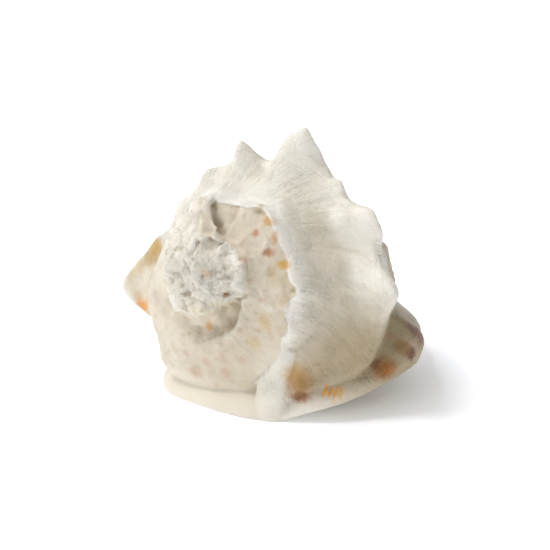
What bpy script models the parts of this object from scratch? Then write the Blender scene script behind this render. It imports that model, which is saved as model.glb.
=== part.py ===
"""A horned helmet shell resting on its underside, grown as one piece.

Closed forms that overlap are laid up as one mesh: the coiled whorls with their horns, the base with its
shield and outer lip, the callus fold and the flange of the older lip. A voxel remesh fuses them, and the
fused body is thinned, levelled underneath, slit for the mouth and hollowed.
Lengths are millimetres until the last step.
"""
import math

import bmesh
import bpy
import numpy as np

MM = 0.001

# The coil: its axis runs from the spire's tip, forward and slightly down.
APEX_HEIGHT = 108.0
AXIS_TILT = math.radians(14)
TURN_GROWTH = 1.86
LIP_ANGLE = math.radians(-70)
SHOULDER_RADIUS = 114.0
SHOULDER_DEPTH = 66.0
FIRST_TURN = -5.0
BODY_END = 219.0

# The mouth and the room inside: wall, middle column, and the mouth's line as right, forward, half width, top.
WALL = 8.0
COLUMN = 13.0
TOOTH_PITCH = 9.0
TOOTH_DEPTH = 1.3
MOUTH = ((38, 54, 4, 60), (42, 80, 7, 62), (41, 110, 8, 62), (36, 140, 8, 60), (27, 170, 7, 56), (15, 200, 6, 48),
         (6, 222, 6, 30), (2, 262, 7, 26))

# The faceting: the grid that fuses the forms, and the share of its triangles kept.
VOXEL = 2.0
KEPT_SHARE = 0.082

# Keys along the growth, by turns before the lip: the shares of a plain spiral's radius and depth that the
# shoulder reaches, how far the seam lies below the shoulder it covers, the scalloping of the last seam in
# millimetres, how much the body swells below the shoulder and over what share of its side, how hollow the
# ramp is between seam and shoulder, and the gutter below the spire's flange: where its outer crest lies on
# the ramp, and how strong it is.
FLARE = ((-5, 1.0), (-3.1, 1.0), (-2.9, 0.92), (-2.6, 1.0), (-2.5, 1.12), (-2.42, 1.1), (-2.3, 1.03), (-2.17, 1.0),
         (-2.1, 0.72), (-2.0, 0.66), (-1.94, 0.78), (-1.86, 1.0), (-1.79, 1.12), (-1.68, 1.16), (-1.6, 1.25),
         (-1.5, 1.27), (-1.47, 1.17), (-1.36, 1.13), (-1.28, 1.08), (-1.14, 1.12), (-1.06, 1.2), (-1.0, 1.27),
         (-0.94, 1.31), (-0.88, 1.38), (-0.855, 1.4), (-0.83, 1.31), (-0.81, 1.23), (-0.79, 1.18), (-0.76, 1.12),
         (-0.73, 1.03), (-0.66, 0.88), (-0.58, 0.88), (-0.52, 0.96), (-0.48, 0.98), (-0.42, 1.01), (-0.36, 1.05),
         (-0.27, 1.09), (-0.2, 1.1), (-0.18, 1.085), (-0.165, 1.08), (-0.13, 1.08), (-0.11, 1.05), (-0.09, 0.985),
         (-0.07, 0.93), (-0.03, 0.82), (0, 0.74))
DEEPER = ((-5, 1.0), (-1.15, 1.0), (-1.05, 1.15), (-0.94, 1.38), (-0.88, 1.38), (-0.8, 1.15), (-0.7, 1.0),
          (-0.3, 1.0), (-0.2, 1.2), (-0.165, 1.28), (-0.125, 1.25), (-0.083, 1.12), (-0.053, 0.95), (0, 0.75))
SEAM_DROP = ((-5, 0.1), (-2.2, 0.1), (-1.7, 0.06), (-1.5, 0.05), (-1.3, 0.07), (-1.15, 0.1), (-1.05, 0.15),
             (-0.9, 0.2), (-0.78, 0.12), (-0.6, 0.03), (-0.12, 0.03), (0, 0.08))
SEAM_SCALLOPS = ((-5, 0), (-0.6, 0), (-0.497, 0.5), (-0.45, -1.5), (-0.403, -1), (-0.367, 5), (-0.33, 1), (-0.297, -1),
                 (-0.25, 0), (-0.197, 4), (-0.147, -2), (-0.12, 1.5), (-0.1, -1), (-0.08, 1), (0, 0))
BELLY = ((-5, 1.0), (-1.3, 1.05), (-1.0, 1.12), (-0.86, 1.12), (-0.7, 1.1), (-0.5, 0.98), (-0.4, 0.89),
         (-0.3, 0.86), (-0.2, 0.86), (-0.1, 0.85), (0, 0.88))
HOLLOW_RAMP = ((-5, 1.2), (-2.0, 1.2), (-1.6, 0.5), (-1.3, 0.0), (-1.0, -1.2), (-0.8, -1.0), (-0.55, 1.0),
               (-0.4, 1.1), (-0.3, 1.9), (-0.2, 2.4), (-0.1, 2.0), (0, 1.0))
CREST = ((-1.15, 0.08), (-1.075, 0.165), (-1.018, 0.3), (-0.967, 0.32), (-0.9, 0.37), (-0.861, 0.5), (-0.8, 0.6))
CREST_RISE = ((-1.2, 0), (-1.12, 0.9), (-1.03, 1.0), (-0.96, 0.5), (-0.88, 0.2), (-0.8, 0))
BELLY_REACH = ((-5, 0.3), (-0.9, 0.36), (-0.7, 0.5), (-0.45, 0.6), (-0.3, 0.85), (0, 0.85))

# Edges of older lips across the coil: turn at the shoulder, how far the edge leans on, rise, length of rise.
OLD_LIPS = ((-1.49, 0.1, 7.5, 0.25), (-2.17, 0.05, 6.0, 0.12), (-2.9, 0.05, 3.5, 0.12))

# Horns and knobs of the last turn: turn, way out along the body, reach out, reach back, width, length.
# Then the ridges of the ramp that lead up to them: turn, rise, width.
HORNS = (
    (-0.455, 0.0, 15.0, 9.0, 0.017, 8.0),
    (-0.383, 2.0, 27.0, 11.0, 0.017, 12.0),
    (-0.399, 2.0, 13.0, 7.0, 0.012, 10.0),
    (-0.366, 6.0, 12.0, 4.0, 0.018, 12.0),
    (-0.348, 4.0, 7.0, 2.0, 0.016, 12.0),
    (-0.325, 0.0, 11.0, 4.0, 0.016, 9.0),
    (-0.282, 2.0, 17.0, 7.0, 0.022, 13.0),
    (-0.262, 8.0, 11.0, 5.0, 0.020, 13.0),
    (-0.206, 0.0, 20.0, 9.0, 0.026, 16.0),
    (-0.520, 0.0, 4.0, 3.0, 0.020, 8.0),
    (-0.585, 0.0, 4.0, 3.0, 0.020, 8.0),
    (-0.470, 34.0, 5.0, 0.0, 0.018, 8.0),
    (-0.410, 34.0, 5.0, 0.0, 0.018, 8.0),
    (-0.350, 35.0, 4.0, 0.0, 0.018, 8.0),
    (-0.290, 34.0, 4.0, 0.0, 0.018, 9.0),
    (-0.245, 34.0, 4.0, 0.0, 0.016, 9.0),
    (-0.195, 30.0, 3.0, 0.0, 0.018, 9.0),
    (-0.440, 68.0, 4.0, 0.0, 0.018, 8.0),
    (-0.375, 68.0, 4.0, 0.0, 0.018, 8.0),
    (-0.315, 68.0, 4.0, 0.0, 0.018, 8.0),
    (-0.260, 68.0, 4.0, 0.0, 0.018, 8.0),
)
RIDGES = ((-0.455, 5.0, 0.018), (-0.383, 7.0, 0.026), (-0.325, 2.5, 0.012), (-0.282, 4.5, 0.018), (-0.206, 8.0, 0.030),
          (-0.244, -3.5, 0.016), (-0.42, -2.5, 0.014), (-0.13, 2.0, 0.02))
KNOBS_A_TURN = 10

# The body's side from the shoulder to its front end, as shares of length and of shoulder radius.
SIDE = ((0.0, 1.0), (0.08, 1.0), (0.25, 0.97), (0.45, 0.86), (0.65, 0.66), (0.82, 0.44), (0.94, 0.24), (1.0, 0.0))

# The base in plan: left, forward, underside, edge thickness. It runs round from the left rear corner.
BASE_CENTRE = (8.0, 125.0)
BASE_OUTLINE = (
    (-53, 33, 0, 3), (-26, 26, 0, 3), (4, 22, 0, 4), (29, 23, 0, 5), (48, 30, 0, 7), (70, 40, 8, 9),
    (88, 54, 15, 12), (101, 72, 22, 13), (109, 97, 28, 14), (109, 124, 30, 14), (98, 150, 28, 14),
    (81, 176, 23, 13), (65, 204, 19, 12), (42, 228, 16, 12), (16, 240, 20, 12), (-14, 236, 16, 10),
    (-44, 218, 9, 8), (-68, 188, 4, 7), (-84, 152, 2, 6), (-90, 114, 1, 6), (-85, 80, 0, 4), (-71, 52, 0, 4),
)


def spline(keys, x):
    """A smooth curve through the keys, flat beyond both ends."""
    at = np.array([key[0] for key in keys], float)
    value = np.array([key[1] for key in keys], float)
    x = np.clip(np.asarray(x, float), at[0], at[-1])
    rise = np.diff(value) / np.diff(at)
    slope = np.concatenate([[0.0], np.where(rise[1:] * rise[:-1] > 0, (rise[1:] + rise[:-1]) / 2, 0), [0.0]])
    slope[1:-1] = np.clip(slope[1:-1], -2.5 * np.minimum(abs(rise[1:]), abs(rise[:-1])),
                          2.5 * np.minimum(abs(rise[1:]), abs(rise[:-1])))
    i = np.clip(np.searchsorted(at, x, side="right") - 1, 0, len(at) - 2)
    width = at[i + 1] - at[i]
    t = (x - at[i]) / width
    return (value[i] * (1 + 2 * t) * (1 - t) ** 2 + value[i + 1] * t * t * (3 - 2 * t)
            + slope[i] * width * t * (1 - t) ** 2 - slope[i + 1] * width * t * t * (1 - t))


def loop_spline(keys, count):
    """Points along a smooth closed curve through the keys."""
    keys = np.array(keys, float)
    n = len(keys)
    s = np.linspace(0, n, count, endpoint=False)
    i = s.astype(int)
    t = (s - i)[:, None]
    a, b, c, d = keys[(i - 1) % n], keys[i], keys[(i + 1) % n], keys[(i + 2) % n]
    return 0.5 * (2 * b + (c - a) * t + (2 * a - 5 * b + 4 * c - d) * t ** 2 + (3 * b - a - 3 * c + d) * t ** 3)


def coil(radius, angle, depth):
    """World position of a point given round the coil's axis."""
    across = radius * np.cos(angle)
    up = radius * np.sin(angle)
    return np.stack([
        across,
        up * math.sin(AXIS_TILT) + depth * math.cos(AXIS_TILT),
        APEX_HEIGHT + up * math.cos(AXIS_TILT) - depth * math.sin(AXIS_TILT),
    ], axis=-1)


def shoulder_at(turn):
    size = TURN_GROWTH ** turn
    return SHOULDER_RADIUS * size * float(spline(FLARE, turn)), SHOULDER_DEPTH * size * float(spline(DEEPER, turn))


def unevenness(x, seed):
    """Smooth random waves of unit size along one number."""
    draw = np.random.default_rng(seed)
    total = 0
    for _ in range(7):
        total = total + math.sqrt(2 / 7) * np.sin(x * draw.uniform(0.5, 1.6) * 2 * math.pi + draw.uniform(0, 6.3))
    return total


def rounded_shoulder(radius, depth, corner):
    """Rounds a section where its ramp meets its side."""
    steps = np.arange(len(radius))
    weight = np.exp(-((steps - corner) / 11.0) ** 4)
    kernel = np.exp(-(np.arange(-18, 19) / 7.0) ** 2)
    kernel /= kernel.sum()
    soft_r = np.convolve(np.pad(radius, 18, mode="edge"), kernel, mode="valid")
    soft_d = np.convolve(np.pad(depth, 18, mode="edge"), kernel, mode="valid")
    return radius + (soft_r - radius) * weight, depth + (soft_d - depth) * weight


def whorl_section(turn):
    """Radius and depth of one section of the coil, from the axis out, forward and back to the axis."""
    size = TURN_GROWTH ** turn
    shoulder, shoulder_depth = shoulder_at(turn)
    seam, seam_depth = shoulder_at(turn - 1)
    seam_depth += SHOULDER_RADIUS * size * float(spline(SEAM_DROP, turn))
    lump = size ** 0.8
    scallop = float(spline(SEAM_SCALLOPS, turn))
    if turn < -0.6:
        scallop = 2.6 * lump * unevenness(turn * 13, 5)
    seam = min(seam * 0.99, shoulder * 0.9)

    ramp = np.linspace(0, 1, 56)
    dip = 5.0 * float(spline(HOLLOW_RAMP, turn)) * size * np.sin(math.pi * ramp)
    bead = (4.2 + 1.3 * float(np.clip((turn + 0.65) / 0.1, 0, 1))) * lump * np.exp(-((ramp - 0.05) / 0.075) ** 2)
    ramp_r = seam + (shoulder - seam) * ramp + scallop * np.exp(-(ramp / 0.12) ** 2)
    ramp_d = seam_depth + (shoulder_depth - seam_depth) * ramp + dip - bead
    for lip_turn, lean, rise, length in OLD_LIPS:
        before = lip_turn + lean * (1 - ramp) ** 2.8 - turn
        ramp_d -= np.where(before > 0, rise * np.exp(-before / length), 0)
        ramp_d += np.where(before <= 0, 0.3 * rise * np.exp(before / 0.02), 0)
    if turn < -0.62:
        sway = unevenness(turn * 9, 11)
        wave = max(0.0, math.cos(2 * math.pi * (turn * KNOBS_A_TURN + 0.16 * sway)))
        strength = 0.85 + 0.45 * unevenness(turn * 7, 3)
        inner = float(np.clip((-1.3 - turn) / 0.3, 0, 1))
        ramp_d -= (1.5 + 7.0 * inner) * lump * wave * strength * np.exp(-((ramp - 0.72) / 0.24) ** 2)
        ramp_d -= (0.6 + 4.0 * inner) * lump * max(0.0, unevenness(turn * 24, 8)) * np.exp(-((ramp - 0.3) / 0.2) ** 2)
        ramp_d += 1.1 * inner * lump * max(0.0, unevenness(turn * 12, 31)) * np.exp(-((ramp - 0.16) / 0.12) ** 2)
    for ridge_turn, rise, width in RIDGES:
        ramp_d -= rise * np.exp(-((turn - ridge_turn - 0.03 * (ramp - 1)) / width) ** 2) * ramp ** 1.4
    crest = float(spline(CREST, turn))
    rise = float(spline(CREST_RISE, turn))
    gutter = np.sin(math.pi * np.clip(ramp / crest, 0, 1)) ** 0.6
    ramp_d += rise * (6.0 * gutter - 2.5 * np.exp(-((ramp - crest - 0.03) / 0.08) ** 2))

    side = np.linspace(0, 1, 71)[1:] ** 1.15
    swell = np.sin(math.pi * np.clip(side / float(spline(BELLY_REACH, turn)), 0, 1))
    side_r = shoulder * spline(SIDE, side) * (1 + (float(spline(BELLY, turn)) - 1) * swell)
    side_d = shoulder_depth + (BODY_END - shoulder_depth) * (1.0 if turn > -1.02 else 0.4) * side
    radius = np.concatenate([[0.0, seam * 0.97], ramp_r, side_r])
    depth = np.concatenate([[seam_depth + 6 * lump, seam_depth + 3 * lump], ramp_d, side_d])
    radius, depth = rounded_shoulder(radius, depth, 2 + len(ramp))

    along = np.concatenate([[-999, -999], ramp_r - shoulder, side_d - shoulder_depth])
    for horn_turn, where, out, back, width, spread in HORNS:
        near = (turn - horn_turn) / width
        far = (along - where) / spread
        lift = np.exp(-((near ** 2 + far ** 2) ** 0.8) * 1.25)
        radius = radius + out * lift
        depth = depth - back * lift
    radius[0] = 0.0
    radius[-1] = 0.0
    return radius, depth


def coiled_whorls():
    """The coil from the spire's tip to the lip, each section reaching the axis."""
    turns = np.concatenate([np.arange(FIRST_TURN, -1.6, 1 / 96), np.arange(-1.6, 0.0001, 1 / 200)])
    rings = []
    for turn in turns:
        radius, depth = whorl_section(turn)
        rings.append(coil(radius, LIP_ANGLE - 2 * math.pi * turn, depth))
    return np.array(rings)


def base_shell():
    """The base: a slab with a flat underside, an upturned lip on the right and a shield on the left."""
    count = 132
    rim = loop_spline(BASE_OUTLINE, count)
    centre = np.array(BASE_CENTRE)
    lip = np.clip((rim[:, 2] - 2) / 20, 0, 1)
    groove = np.clip((78 - rim[:, 1]) / 28, 0, 1)
    rings = []
    # underside, from the middle out
    for share in (0.0001, 0.3, 0.5, 0.62, 0.72, 0.8, 0.87, 0.93, 0.975):
        lift = rim[:, 2] * np.clip((share - 0.5) / 0.5, 0, 1) ** 1.5
        rings.append(np.column_stack([centre + (rim[:, :2] - centre) * share, lift - 3 * (rim[:, 2] < 1)]))
    for share, up in ((1.0, 0.25), (1.01, 0.5), (1.0, 0.8)):
        rings.append(np.column_stack([centre + (rim[:, :2] - centre) * share, rim[:, 2] + rim[:, 3] * up]))
    # upper face, from the edge in
    top = rim[:, 2] + rim[:, 3]
    for share in (0.965, 0.93, 0.89, 0.85, 0.8, 0.74, 0.66, 0.56, 0.4, 0.0001):
        inward = (1 - share) * np.linalg.norm(rim[:, :2] - centre, axis=1)
        shield = top + 1.0 * np.clip(inward, 0, 18) + 0.3 * np.clip(inward - 18, 0, 99)
        valley = top - 3.0 * np.clip(inward / 12, 0, 1) + np.clip(inward - 12, 0, 99) * 1.1
        swept_up = top + 0.8 * inward
        height = shield * (1 - lip) + (valley * groove + swept_up * (1 - groove)) * lip
        rings.append(np.column_stack([centre + (rim[:, :2] - centre) * share, np.minimum(height, 62)]))
    return np.array(rings)


def fold(points, across=16):
    """A rounded fold along points given as x, y, z, radius."""
    points = np.array(points, float)
    s = np.linspace(0, len(points) - 1, 14)
    keys = np.arange(len(points))
    path = np.column_stack([spline(list(zip(keys, points[:, i])), s) for i in range(4)])
    tangent = np.gradient(path[:, :3], axis=0)
    tangent /= np.linalg.norm(tangent, axis=1)[:, None]
    side = np.cross(tangent, (0.3, 0.9, 0.2))
    side /= np.linalg.norm(side, axis=1)[:, None]
    other = np.cross(tangent, side)
    turn = np.linspace(0, 2 * math.pi, across, endpoint=False)
    return np.array([
        p[:3] + p[3] * (np.cos(turn)[:, None] * a + np.sin(turn)[:, None] * b)
        for p, a, b in zip(path, side, other)
    ])


def old_lip_flange():
    """The flange of the older lip: a fin that stands out on the left, thick where it leaves the body."""
    edge = ((150, 58, 30, 20), (158, 66, 36, 16), (166, 76, 44, 14), (175, 84, 48, 12), (184, 96, 50, 12),
            (190, 106, 51, 12), (194, 109, 52, 13), (198, 104, 52, 14), (203, 95, 50, 15), (209, 86, 48, 18),
            (216, 76, 44, 22))
    keys = np.linspace(0, 1, len(edge))
    s = np.linspace(0, 1, 90)
    angle, radius, depth, thick = (spline([(k, e[i]) for k, e in zip(keys, edge)], s) for i in range(4))
    section = np.array(((0.25, -0.1), (0.75, -0.1), (0.95, 0.05), (1.0, 0.3), (0.97, 0.75), (0.8, 1.0), (0.25, 1.3)))
    return np.array([
        coil(section[:, 0] * r, t, d + section[:, 1] * h)
        for t, r, d, h in zip(np.radians(angle), radius, depth, thick)
    ])


def hollow_whorl():
    """The room inside the last whorl, a wall's thickness inside the body and round a middle column."""
    rings = []
    for turn in np.linspace(-0.93, -0.05, 60):
        shoulder, shoulder_depth = shoulder_at(turn)
        side = np.linspace(0.0, 0.86, 12)
        swell = np.sin(math.pi * np.clip(side / float(spline(BELLY_REACH, turn)), 0, 1))
        side_r = shoulder * spline(SIDE, side) * (1 + (float(spline(BELLY, turn)) - 1) * swell) - WALL
        side_d = shoulder_depth + (BODY_END - shoulder_depth) * side
        start = max(shoulder_depth + 6, 48.0)
        side_d = np.maximum(side_d, start + side * 10)
        side_r[0] -= 8
        side_r = np.maximum(side_r, COLUMN + 3)
        radius = np.concatenate([[COLUMN], side_r, [COLUMN]])
        depth = np.concatenate([[start], side_d, [side_d[-1]]])
        rings.append(coil(radius, LIP_ANGLE - 2 * math.pi * turn, depth))
    return np.array(rings)


def mouth_slit():
    """The narrow mouth, cut up from the underside, its outer-lip side scalloped between teeth."""
    keys = np.arange(len(MOUTH))
    s = np.linspace(0, len(MOUTH) - 1, 90)
    x, y, half, top = (spline([(k, m[i]) for k, m in zip(keys, MOUTH)], s) for i in range(4))
    run = np.concatenate([[0], np.cumsum(np.hypot(np.diff(x), np.diff(y)))])
    tooth = TOOTH_DEPTH * np.cos(2 * math.pi * run / TOOTH_PITCH) * (y < 205)
    rings = []
    for i in range(len(s)):
        left, right = x[i] - half[i], x[i] + half[i] + tooth[i]
        rings.append([
            (left - 3, y[i], -6), (left - 0.5, y[i], 4), (left, y[i], 9), (left + 1, y[i], top[i]),
            (right - 1, y[i], top[i]), (right, y[i], 9), (right + 0.5, y[i], 4), (right + 3, y[i], -6),
        ])
    return np.array(rings)


def lay_up(mesh, rings):
    """Adds one closed form: rings of points joined by quads, with a cap over each end."""
    count = rings.shape[1]
    vertices = [[mesh.verts.new(point * MM) for point in ring] for ring in rings]
    for near, far in zip(vertices, vertices[1:]):
        for i in range(count):
            j = (i + 1) % count
            mesh.faces.new((near[i], near[j], far[j], far[i]))
    mesh.faces.new(list(reversed(vertices[0])))
    mesh.faces.new(vertices[-1])


def named_object(name, forms):
    mesh = bmesh.new()
    for rings in forms:
        lay_up(mesh, rings)
    bmesh.ops.triangulate(mesh, faces=mesh.faces[:])
    bmesh.ops.recalc_face_normals(mesh, faces=mesh.faces[:])
    data = bpy.data.meshes.new(name)
    mesh.to_mesh(data)
    mesh.free()
    obj = bpy.data.objects.new(name, data)
    bpy.context.scene.collection.objects.link(obj)
    return obj


def cut(obj, cutter):
    cutter.hide_render = True
    cutter.display_type = "WIRE"
    step = obj.modifiers.new(cutter.name, "BOOLEAN")
    step.operation = "DIFFERENCE"
    # The EXACT solver returns nothing for a fused mesh this fine.
    step.solver = "MANIFOLD"
    step.object = cutter


for old in list(bpy.data.objects):
    bpy.data.objects.remove(old)

callus_fold = fold(((57, 33, 57, 5), (51, 33, 47, 8), (46, 34, 38, 10), (42, 34, 28, 11), (39, 35, 17, 12),
                    (37, 38, 4, 14)))
bridge = fold(((58, 44, 54, 6), (54, 45, 46, 8), (51, 46, 39, 9), (49, 46, 28, 10), (47, 46, 17, 11), (46, 47, 6, 12)))
apron = fold(((62, 58, 50, 8), (58, 56, 42, 9), (56, 56, 32, 10), (55, 57, 20, 10), (54, 58, 8, 11)))
siphon = fold(((20, 195, 34, 20), (10, 214, 32, 18), (3, 230, 36, 14), (0, 240, 50, 9)))
shell = named_object("helmet_shell", [
    coiled_whorls(), base_shell(), callus_fold, bridge, apron, siphon, old_lip_flange()])

fuse = shell.modifiers.new("fuse", "REMESH")
fuse.mode = "VOXEL"
fuse.voxel_size = VOXEL * MM
relax = shell.modifiers.new("relax", "SMOOTH")
relax.factor = 0.5
relax.iterations = 3
cut(shell, named_object("mouth", [mouth_slit()]))
cut(shell, named_object("hollow", [hollow_whorl()]))
thin = shell.modifiers.new("thin", "DECIMATE")
thin.ratio = KEPT_SHARE
floor = np.array([[(x, y, z) for x, z in ((-200, -30), (200, -30), (200, 0), (-200, 0))] for y in (-100, 350)], float)
cut(shell, named_object("level", [floor]))

# The finished solid, set down with its box's middle over the origin.
graph = bpy.context.evaluated_depsgraph_get()
solid = bpy.data.meshes.new_from_object(shell.evaluated_get(graph))
points = np.empty(len(solid.vertices) * 3, np.float32)
solid.vertices.foreach_get("co", points)
points = points.reshape(-1, 3)
middle = (points[:, :2].min(axis=0) + points[:, :2].max(axis=0)) / 2
points[:, :2] -= middle
solid.vertices.foreach_set("co", points.ravel())
shell.modifiers.clear()
shell.data = solid
for cutter in ("mouth", "hollow", "level"):
    bpy.data.objects.remove(bpy.data.objects[cutter])

material = bpy.data.materials.new("shell_cream")
material.use_nodes = True
surface = material.node_tree.nodes["Principled BSDF"]
surface.inputs["Base Color"].default_value = (0.80, 0.72, 0.60, 1.0)
surface.inputs["Roughness"].default_value = 0.5
shell.data.materials.append(material)
shell.data.shade_smooth()
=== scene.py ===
import math

import bmesh
import bpy
import numpy as np
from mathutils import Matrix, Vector, noise


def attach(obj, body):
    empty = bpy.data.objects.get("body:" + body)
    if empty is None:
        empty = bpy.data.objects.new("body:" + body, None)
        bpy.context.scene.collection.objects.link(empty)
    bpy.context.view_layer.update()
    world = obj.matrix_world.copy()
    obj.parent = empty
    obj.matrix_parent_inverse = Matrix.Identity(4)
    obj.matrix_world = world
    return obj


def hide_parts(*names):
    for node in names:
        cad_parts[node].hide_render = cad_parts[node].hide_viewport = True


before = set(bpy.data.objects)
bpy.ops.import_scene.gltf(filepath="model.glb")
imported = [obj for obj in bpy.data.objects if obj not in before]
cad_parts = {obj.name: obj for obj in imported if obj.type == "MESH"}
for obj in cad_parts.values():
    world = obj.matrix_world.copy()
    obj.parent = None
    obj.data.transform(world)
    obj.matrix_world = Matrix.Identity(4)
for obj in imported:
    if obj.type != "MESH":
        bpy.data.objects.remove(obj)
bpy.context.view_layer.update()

# The shell
# One heavy shell, grown turn by turn of chalky lime with a glazed lip and shield. Old lips stay on it as
# ledges and a side flange, the shoulder carries blunt horns, and the mouth is a toothed slit underneath.
MM = 0.001
# Sizes are in millimetres. A turn is 0 at the lip and counts back to -5 at the spire's tip.
APEX_HEIGHT = 108.0
AXIS_TILT = math.radians(14)
TURN_GROWTH = 1.86
LIP_ANGLE = math.radians(-70)
SHOULDER_RADIUS = 114.0
SHOULDER_DEPTH = 66.0
FIRST_TURN = -5.0
BODY_END = 219.0
BOX_MIDDLE = (10.554, 124.509)
TIP = (-BOX_MIDDLE[0], -BOX_MIDDLE[1], APEX_HEIGHT)

WALL = 8.0
COLUMN = 13.0
TOOTH_PITCH = 9.0
TOOTH_DEPTH = 1.3
# The mouth from front to back, as x, y, half width and height of the room above it.
MOUTH = ((38, 54, 4, 60), (42, 80, 7, 62), (41, 110, 8, 62), (36, 140, 8, 60), (27, 170, 7, 56),
         (15, 200, 6, 48), (6, 222, 6, 30), (2, 262, 7, 26))

VOXEL = 1.15
KEPT_TRIANGLES = 172050
FLAT_BELOW = 3.0
RAMP_STEPS = 56

# How the coil changes on its way, as turn and value: the shoulder's radius and depth beside the even growth,
# the seam's drop and scallops, the side's swell and how far down it reaches, and the hollow of the ramp
# from seam to shoulder.
FLARE = ((-5, 1.0), (-3.1, 1.0), (-2.9, 0.92), (-2.6, 1.0), (-2.5, 1.12), (-2.42, 1.1), (-2.3, 1.03),
         (-2.17, 1.0), (-2.1, 0.72), (-2.0, 0.66), (-1.94, 0.78), (-1.86, 1.0), (-1.79, 1.12),
         (-1.68, 1.16), (-1.6, 1.25), (-1.5, 1.27), (-1.47, 1.17), (-1.36, 1.13), (-1.28, 1.08),
         (-1.14, 1.12), (-1.06, 1.2), (-1.0, 1.27), (-0.94, 1.31), (-0.88, 1.38), (-0.855, 1.4),
         (-0.83, 1.31), (-0.81, 1.23), (-0.79, 1.18), (-0.76, 1.12), (-0.73, 1.03), (-0.66, 0.88),
         (-0.58, 0.88), (-0.52, 0.96), (-0.48, 0.98), (-0.42, 1.01), (-0.36, 1.05), (-0.27, 1.09),
         (-0.2, 1.1), (-0.18, 1.085), (-0.165, 1.08), (-0.13, 1.08), (-0.11, 1.05), (-0.09, 0.985),
         (-0.07, 0.93), (-0.03, 0.82), (0, 0.74))
DEEPER = ((-5, 1.0), (-1.15, 1.0), (-1.05, 1.15), (-0.94, 1.38), (-0.88, 1.38), (-0.8, 1.15), (-0.7, 1.0),
          (-0.3, 1.0), (-0.2, 1.2), (-0.165, 1.28), (-0.125, 1.25), (-0.083, 1.12), (-0.053, 0.95),
          (0, 0.75))
SEAM_DROP = ((-5, 0.1), (-2.2, 0.1), (-1.7, 0.06), (-1.5, 0.05), (-1.3, 0.07), (-1.15, 0.1), (-1.05, 0.15),
             (-0.9, 0.2), (-0.78, 0.12), (-0.6, 0.03), (-0.12, 0.03), (0, 0.08))
SEAM_SCALLOPS = ((-5, 0), (-0.6, 0), (-0.497, 0.5), (-0.45, -1.5), (-0.403, -1), (-0.367, 5), (-0.33, 1),
                 (-0.297, -1), (-0.25, 0), (-0.23, -2), (-0.21, -1), (-0.194, 4.5), (-0.172, -2),
                 (-0.147, -2.5), (-0.12, 2), (-0.1, -1.5), (-0.08, 1.5), (0, 0))
BELLY = ((-5, 1.0), (-1.3, 1.05), (-1.0, 1.12), (-0.86, 1.12), (-0.7, 1.1), (-0.5, 0.98), (-0.4, 0.89),
         (-0.3, 0.86), (-0.2, 0.86), (-0.1, 0.85), (0, 0.88))
BELLY_REACH = ((-5, 0.3), (-0.9, 0.36), (-0.7, 0.5), (-0.45, 0.6), (-0.3, 0.85), (0, 0.85))
HOLLOW_RAMP = ((-5, 1.2), (-2.0, 1.2), (-1.6, 0.5), (-1.3, 0.0), (-1.0, -1.2), (-0.8, -1.0), (-0.55, 1.0),
               (-0.4, 1.1), (-0.3, 1.9), (-0.2, 2.4), (-0.1, 2.0), (0, 1.0))
# The gutter inside the older whorl's crest: where on the ramp the crest runs, and how high it stands.
CREST = ((-1.15, 0.08), (-1.075, 0.165), (-1.018, 0.3), (-0.967, 0.32), (-0.9, 0.37), (-0.861, 0.5),
         (-0.8, 0.6))
CREST_RISE = ((-1.2, 0), (-1.12, 0.9), (-1.03, 1.0), (-0.96, 0.5), (-0.88, 0.2), (-0.8, 0))
LIP_BEND = 2.8
# Old lips, as turn, lean, height of the cliff and length over which it dies away.
OLD_LIPS = ((-1.49, 0.1, 7.5, 0.25), (-2.17, 0.05, 6.0, 0.12), (-2.9, 0.05, 3.5, 0.12))
# Horns and low knobs, as turn, place down the side, reach outward and backward, width in turns and in mm.
HORNS = (
    (-0.455, 0.0, 15.0, 9.0, 0.017, 8.0),
    (-0.383, 2.0, 27.0, 11.0, 0.017, 12.0),
    (-0.399, 2.0, 13.0, 7.0, 0.012, 10.0),
    (-0.366, 6.0, 12.0, 4.0, 0.018, 12.0),
    (-0.348, 4.0, 7.0, 2.0, 0.016, 12.0),
    (-0.325, 0.0, 11.0, 4.0, 0.016, 9.0),
    (-0.282, 2.0, 17.0, 7.0, 0.022, 13.0),
    (-0.262, 8.0, 11.0, 5.0, 0.020, 13.0),
    (-0.206, 0.0, 20.0, 9.0, 0.026, 16.0),
    (-0.520, 0.0, 4.0, 3.0, 0.020, 8.0),
    (-0.585, 0.0, 4.0, 3.0, 0.020, 8.0),
    (-0.470, 34.0, 5.0, 0.0, 0.018, 8.0),
    (-0.410, 34.0, 5.0, 0.0, 0.018, 8.0),
    (-0.350, 35.0, 4.0, 0.0, 0.018, 8.0),
    (-0.290, 34.0, 4.0, 0.0, 0.018, 9.0),
    (-0.245, 34.0, 4.0, 0.0, 0.016, 9.0),
    (-0.195, 30.0, 3.0, 0.0, 0.018, 9.0),
    (-0.440, 68.0, 4.0, 0.0, 0.018, 8.0),
    (-0.375, 68.0, 4.0, 0.0, 0.018, 8.0),
    (-0.315, 68.0, 4.0, 0.0, 0.018, 8.0),
    (-0.260, 68.0, 4.0, 0.0, 0.018, 8.0),
)
# Ridges across the ramp, as turn, height and width.
RIDGES = ((-0.455, 5.0, 0.018), (-0.383, 7.0, 0.026), (-0.325, 2.5, 0.012), (-0.282, 4.5, 0.018),
          (-0.206, 8.0, 0.030), (-0.244, -3.5, 0.016), (-0.42, -2.5, 0.014), (-0.13, 2.0, 0.02))
KNOBS_A_TURN = 10
SPIRE_EDGE = -1.47
# The side's shape, as share of its length and of the shoulder's radius.
SIDE = ((0.0, 1.0), (0.08, 1.0), (0.25, 0.97), (0.45, 0.86), (0.65, 0.66), (0.82, 0.44), (0.94, 0.24),
        (1.0, 0.0))
BASE_CENTRE = (8.0, 125.0)
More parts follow.
